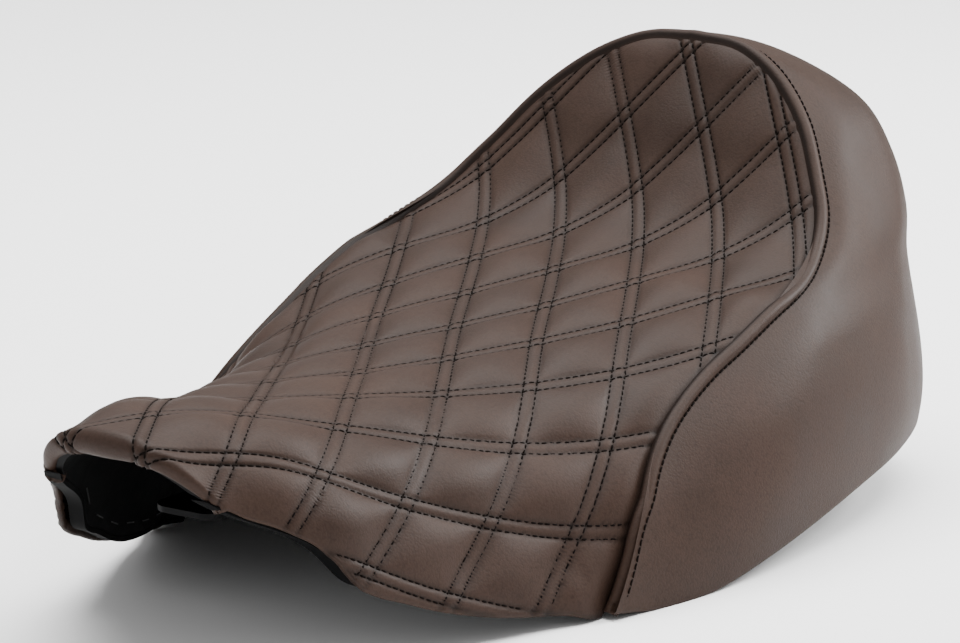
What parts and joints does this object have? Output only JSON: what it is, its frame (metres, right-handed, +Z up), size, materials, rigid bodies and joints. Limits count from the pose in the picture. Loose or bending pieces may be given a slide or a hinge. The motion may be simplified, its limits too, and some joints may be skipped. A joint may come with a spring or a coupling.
{
  "type": "motorcycle seat",
  "caption": "Solo motorcycle seat with a diamond-quilted leather cover, a raised back bolster, a moulded base pan, a front tongue and a rear screw tab.",
  "frame": {"origin": "under the middle of the seat, at the height of its lowest edge", "axes": "+Z up as fitted on the motorcycle, the nose points along -Y, +X is the rider's left"},
  "size_m": [0.3326, 0.588, 0.2332],
  "materials": {
    "cover_leather": "brown pebbled leather, satin",
    "soft_foam": "open-cell foam",
    "firm_foam": "moulded foam",
    "gel": "soft gel",
    "pan_plastic": "moulded, lightly grained",
    "trim_rubber": "matte",
    "bracket_steel": "black powder coat",
    "rivet_metal": "plain",
    "screw_steel": "zinc plated",
    "nylon": "natural nylon",
    "pad_foam": "closed-cell foam rubber",
    "staple_wire": "galvanised wire"
  },
  "bodies": {
    "seat": {"quilted_cover": "cover_leather", "left_side_cover": "cover_leather", "right_side_cover": "cover_leather", "seam_welt": "cover_leather", "quilt_foam": "soft_foam", "gel_pad": "gel", "bolster_foam": "firm_foam", "seat_foam": "firm_foam", "base_pan": "pan_plastic", "edge_trim": "trim_rubber", "front_tongue": "bracket_steel", "tongue_backing_plate": "bracket_steel", "tongue_rivets": "rivet_metal", "rear_bracket": "bracket_steel", "bracket_backing_plate": "bracket_steel", "bracket_rivets": "rivet_metal", "frame_bumpers": "trim_rubber", "fender_pads": "pad_foam", "drain_grommets": "trim_rubber", "cover_staples": "staple_wire"},
    "screw": {"mount_screw": "screw_steel", "screw_retainer": "nylon"}
  },
  "joints": [
    {"name": "screw_turn", "type": "hinge", "parent": "seat", "child": "screw", "pos_m": [0, 0.281, 0.048], "axis": [0, 0, 1], "continuous": true}
  ]
}
